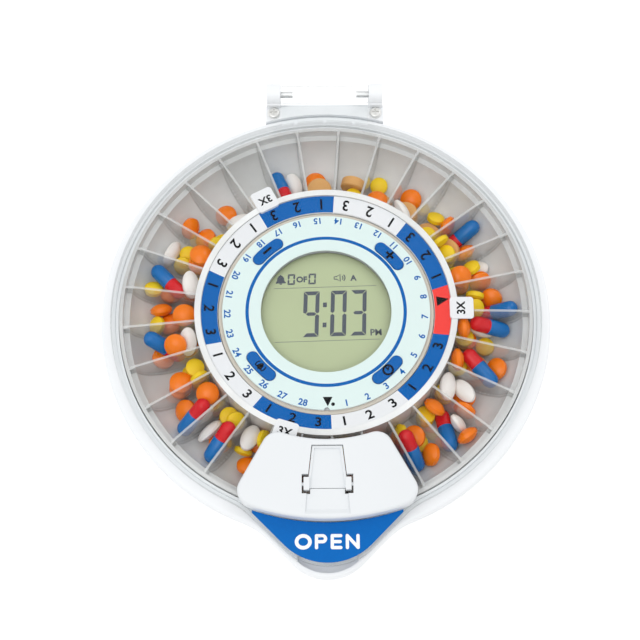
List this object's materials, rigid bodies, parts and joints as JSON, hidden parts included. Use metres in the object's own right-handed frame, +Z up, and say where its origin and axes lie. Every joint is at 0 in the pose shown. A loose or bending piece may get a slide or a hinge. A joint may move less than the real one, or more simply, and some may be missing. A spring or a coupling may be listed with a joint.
{
  "type": "automatic pill dispenser",
  "caption": "Round automatic pill dispenser: clear hinged lid with gravity flap, motor-turned tray of compartments, central display with buttons, battery door and lock.",
  "frame": {"origin": "on the tray's axis, in the plane of the foot ring's underside", "axes": "+Z up along the tray's axis, -Y to the opening tab and dispensing door, +Y to the lid's hinge, +X to the right seen from the tab"},
  "size_m": [0.2, 0.2317, 0.0532],
  "materials": {
    "white_plastic": "fine satin moulded ABS",
    "clear_plastic": "polished clear polycarbonate",
    "tray_clear": "clear moulded polystyrene",
    "soft_rubber": "matt thermoplastic rubber",
    "cell_jacket": "printed foil sleeve on AA cells",
    "nickel": "nickel-plated spring steel",
    "screw_steel": "zinc-plated screws",
    "pin_steel": "ground hinge pins",
    "grey_plastic": "moulded inner structure",
    "gear_plastic": "self-lubricating acetal",
    "motor_can": "rolled steel can",
    "mint_print": "printed film on the dial",
    "white_print": "printed dose ring",
    "blue_label": "blue printed label",
    "blue_button": "blue satin key caps",
    "lens_clear": "clear acrylic window",
    "lcd_glass": "reflective liquid crystal panel",
    "circuit_green": "solder mask",
    "black_plastic": "moulded component bodies",
    "lock_metal": "plated lock"
  },
  "bodies": {
    "base": {"base_bowl": "white_plastic", "foot_ring": "soft_rubber", "battery_box": "grey_plastic", "aa_cells": "cell_jacket", "battery_contacts": "nickel", "deck": "white_plastic", "case_screws": "screw_steel", "gearbox": "gear_plastic", "drive_motor": "motor_can", "control_housing": "white_plastic", "faceplate": "white_plastic", "dial_overlay": "mint_print", "display_lens": "lens_clear", "lcd_panel": "lcd_glass", "lcd_frame": "black_plastic", "circuit_board": "circuit_green", "key_switches": "black_plastic", "buzzer": "black_plastic", "tilt_switch": "nickel", "hinge_bracket": "white_plastic", "hinge_pins": "pin_steel", "hinge_screws": "screw_steel", "lock_body": "lock_metal"},
    "lid": {"lid_shell": "clear_plastic", "door_cover": "white_plastic", "open_label": "blue_label"},
    "flap": {"gravity_flap": "white_plastic"},
    "tray": {"pill_tray": "tray_clear", "tray_hub": "tray_clear", "tray_dividers": "tray_clear", "dose_ring": "white_print"},
    "pinion": {"drive_pinion": "gear_plastic"},
    "battery_door": {"battery_door": "white_plastic"},
    "lock": {"lock_plug": "lock_metal"},
    "plus_button": {"button_plus": "blue_button"},
    "minus_button": {"button_minus": "blue_button"},
    "alarm_button": {"button_alarm": "blue_button"},
    "clock_button": {"button_clock": "blue_button"}
  },
  "joints": [
    {"name": "lid_hinge", "type": "hinge", "parent": "base", "child": "lid", "pos_m": [0, 0.1093, 0.0454], "axis": [-1, 0, 0], "range_deg": [0, 105]},
    {"name": "flap_swing", "type": "hinge", "parent": "lid", "child": "flap", "pos_m": [0, -0.0805, 0.0514], "axis": [1, 0, 0], "range_deg": [0, 100]},
    {"name": "tray_turn", "type": "hinge", "parent": "base", "child": "tray", "pos_m": [0, 0, 0.03], "axis": [0, 0, 1], "continuous": true},
    {"name": "pinion_spin", "type": "hinge", "parent": "base", "child": "pinion", "pos_m": [0, 0.04164, 0.03], "axis": [0, 0, 1], "continuous": true},
    {"name": "battery_door_hinge", "type": "hinge", "parent": "base", "child": "battery_door", "pos_m": [0, 0.026, 0.0024], "axis": [1, 0, 0], "range_deg": [0, 85]},
    {"name": "lock_turn", "type": "hinge", "parent": "base", "child": "lock", "pos_m": [0, -0.105, 0.03], "axis": [0, 1, 0], "range_deg": [0, 90]},
    {"name": "plus_press", "type": "slide", "parent": "base", "child": "plus_button", "axis": [0, 0, -1], "range_m": [0, 0.0008], "stiffness_N_per_m": 1000, "springref_m": -0.0003},
    {"name": "minus_press", "type": "slide", "parent": "base", "child": "minus_button", "axis": [0, 0, -1], "range_m": [0, 0.0008], "stiffness_N_per_m": 1000, "springref_m": -0.0003},
    {"name": "alarm_press", "type": "slide", "parent": "base", "child": "alarm_button", "axis": [0, 0, -1], "range_m": [0, 0.0008], "stiffness_N_per_m": 1000, "springref_m": -0.0003},
    {"name": "clock_press", "type": "slide", "parent": "base", "child": "clock_button", "axis": [0, 0, -1], "range_m": [0, 0.0008], "stiffness_N_per_m": 1000, "springref_m": -0.0003}
  ],
  "couplings": [
    {"joint": "pinion_spin", "follows": "tray_turn", "ratio": 7.25}
  ]
}
